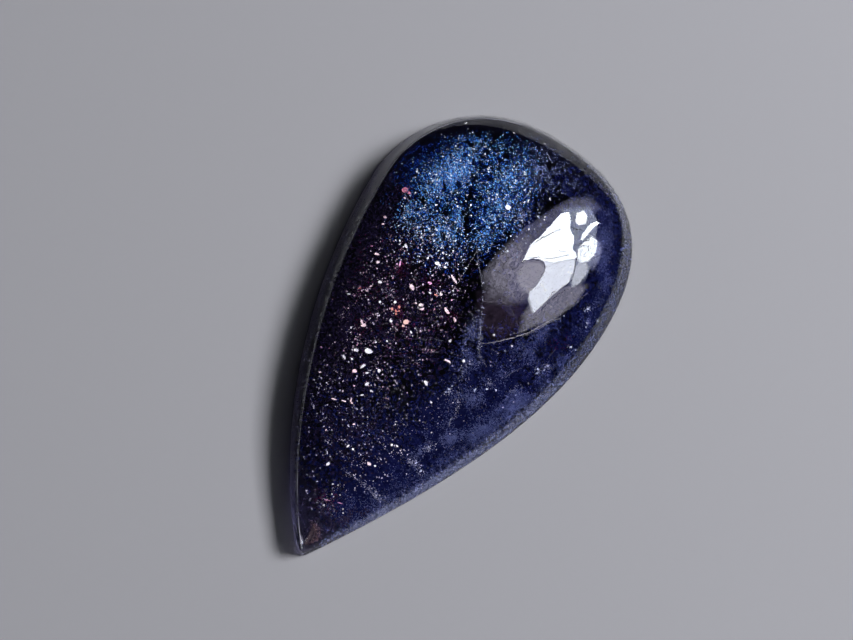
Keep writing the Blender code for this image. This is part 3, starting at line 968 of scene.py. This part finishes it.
def pane(name, spots, radiance, patchy, distance, soft):
    at, rays, normal = onDome(spots)
    away = rays - 2 * (rays * normal).sum(axis=1, keepdims=True) * normal  # where the rays are thrown
    edge = at + away * distance
    n = len(edge)
    middle = edge.mean(axis=0)
    inner = middle + (edge - middle) * (1 - soft)
    ring = [[i, (i + 1) % n, n + (i + 1) % n, n + i] for i in range(n)] if soft else []
    data = bpy.data.meshes.new(name)
    data.from_pydata(edge.tolist() + inner.tolist(), [], ring + [list(range(n, 2 * n))])
    fade = data.attributes.new("fade", "FLOAT", "POINT")
    fade.data.foreach_set("value", [0.0 if soft else 1.0] * n + [1.0] * n)
    m = bpy.data.materials.new(name)
    m.use_nodes = True
    nodes, links = m.node_tree.nodes, m.node_tree.links
    glow = nodes.new("ShaderNodeEmission")
    glow.inputs["Color"].default_value = (*radiance, 1)
    uneven = nodes.new("ShaderNodeTexNoise")
    for k, value in streaks.items():
        uneven.inputs[k].default_value = value
    vary = nodes.new("ShaderNodeMapRange")
    ends = (*streakLevels, 1 - patchy, 1 + patchy)
    for k, end in zip(("From Min", "From Max", "To Min", "To Max"), ends):
        vary.inputs[k].default_value = end
    links.new(uneven.outputs[0], vary.inputs[0])
    links.new(vary.outputs[0], glow.inputs["Strength"])
    fading = nodes.new("ShaderNodeAttribute")
    fading.attribute_name = "fade"
    mix = nodes.new("ShaderNodeMixShader")
    links.new(fading.outputs["Fac"], mix.inputs[0])
    links.new(nodes.new("ShaderNodeBsdfTransparent").outputs[0], mix.inputs[1])
    links.new(glow.outputs[0], mix.inputs[2])
    links.new(mix.outputs[0], nodes["Material Output"].inputs["Surface"])
    data.materials.append(m)
    obj = bpy.data.objects.new(name, data)
    scene.collection.objects.link(obj)
    obj.visible_camera = obj.visible_diffuse = obj.visible_transmission = obj.visible_shadow = False


# radiance, patchiness, distance, soft edge, and the place in the photo where it is mirrored
panes = {
    "mainPane": ((24, 25, 26), 0.05, 0.50, 0, [
        (522, 262), (530, 246), (541, 236), (556, 219), (562, 213), (569, 212), (571, 221), (570, 228),
        (574, 237), (574, 243), (572, 248), (576, 253), (576, 258), (560, 262), (545, 262), (541, 260),
        (533, 258)]),
    "lowerPane": ((15.5, 16.2, 18.2), 0.12, 0.50, 0.1, [
        (543, 260), (560, 261), (576, 258), (576, 264), (574, 272), (570, 282), (561, 289), (553, 295),
        (544, 304), (533, 314), (530, 309), (527, 300), (528, 293), (537, 284), (544, 272), (546, 265)]),
    "upperPane": ((24, 25, 26), 0.05, 0.50, 0.15, [
        (576, 213), (584, 210), (588, 216), (586, 224), (578, 226), (575, 222)]),
    "narrowPane": ((22, 23, 24), 0.1, 0.50, 0, [
        (580, 240), (583, 233), (590, 224), (597, 221), (600, 223), (595, 226), (589, 233), (583, 240)]),
    "sidePane": ((20, 21, 22), 0.5, 0.50, 0.15, [
        (576, 261), (577, 249), (583, 242), (592, 235), (598, 240), (597, 252), (590, 261), (580, 265)]),
    "dimPane": ((9.5, 10, 11.5), 0.35, 0.50, 0.2, [
        (573, 268), (578, 262), (586, 260), (589, 266), (586, 276), (579, 285), (571, 289), (571, 278)]),
    "notch": ((5.6, 5.4, 6.4), 0.2, 0.56, 0.25, [
        (516, 270), (524, 261), (541, 259), (549, 266), (546, 276), (536, 288), (528, 296), (520, 290),
        (514, 280)]),
    "sideGlow": ((3.4, 3.6, 5.4), 0.5, 0.54, 0.5, [
        (590, 238), (598, 236), (604, 246), (600, 262), (592, 274), (587, 264)]),
    "lowerBand": ((3.2, 3.1, 3.9), 0.4, 0.58, 0.2, [
        (516, 336), (520, 316), (528, 303), (545, 296), (570, 284), (582, 280), (590, 284), (580, 300),
        (560, 316), (541, 326)]),
    "frameGap": ((4.0, 4.4, 5.9), 0.3, 0.62, 0.15, [
        (560, 208), (575, 205), (590, 206), (598, 220), (596, 240), (593, 262), (584, 284), (570, 290),
        (560, 262)]),
    "upperBand": ((1.6, 1.6, 2.3), 0.4, 0.70, 0.35, [
        (506, 243), (528, 225), (552, 207), (574, 196), (594, 197), (604, 208), (590, 220), (565, 232),
        (540, 250), (518, 262)]),
    "dimPatch": ((3.1, 2.95, 3.9), 0.6, 0.95, 0.35, [
        (478, 276), (490, 260), (504, 244), (530, 228), (548, 240), (548, 268), (534, 304), (508, 309),
        (484, 305)]),
    "darkCorner": ((0.36, 0.25, 0.45), 0.6, 1.15, 0.4, [
        (474, 290), (500, 284), (528, 290), (526, 330), (500, 346), (474, 334)]),
}
for name, (radiance, patchy, distance, soft, spots) in panes.items():
    pane(name, spots, radiance, patchy, distance, soft)
print(len(panes), "panes hung")


def areaLight(name, azimuth, elevation, distance, width, height, radiance):
    a, e = math.radians(azimuth), math.radians(elevation)
    place = Vector((math.cos(a) * math.cos(e), math.sin(a) * math.cos(e), math.sin(e))) * distance
    data = bpy.data.lights.new(name, "AREA")
    data.shape = "RECTANGLE"
    data.size, data.size_y = width, height
    data.energy = radiance * math.pi * width * height
    obj = bpy.data.objects.new(name, data)
    obj.matrix_world = Matrix.Translation(place) @ (-place).to_track_quat("-Z", "Y").to_matrix().to_4x4()
    scene.collection.objects.link(obj)
    obj.visible_camera = False
    return obj


# azimuth, elevation, distance, width, height, radiance, and whether it lights dull surfaces
lights = {
    "key": (36, 35, 0.5, 0.27, 0.13, 62, True),
    "inner": (50, 60, 0.5, 0.5, 0.5, 6.5, False),  # these two are seen only through the stone
    "leftInner": (200, 30, 0.5, 0.4, 0.4, 2.0, False),
}
skyLook = {"colour": (0.9, 0.95, 1), "strength": 0.012}
for name, (*place, dull) in lights.items():
    light = areaLight(name, *place)
    light.visible_glossy = False
    light.visible_diffuse = dull
world = bpy.data.worlds.new("world")
scene.world = world
world.use_nodes = True
sky = world.node_tree.nodes["Background"]
sky.inputs["Color"].default_value = (*skyLook["colour"], 1)
sky.inputs["Strength"].default_value = skyLook["strength"]
print("lights set")
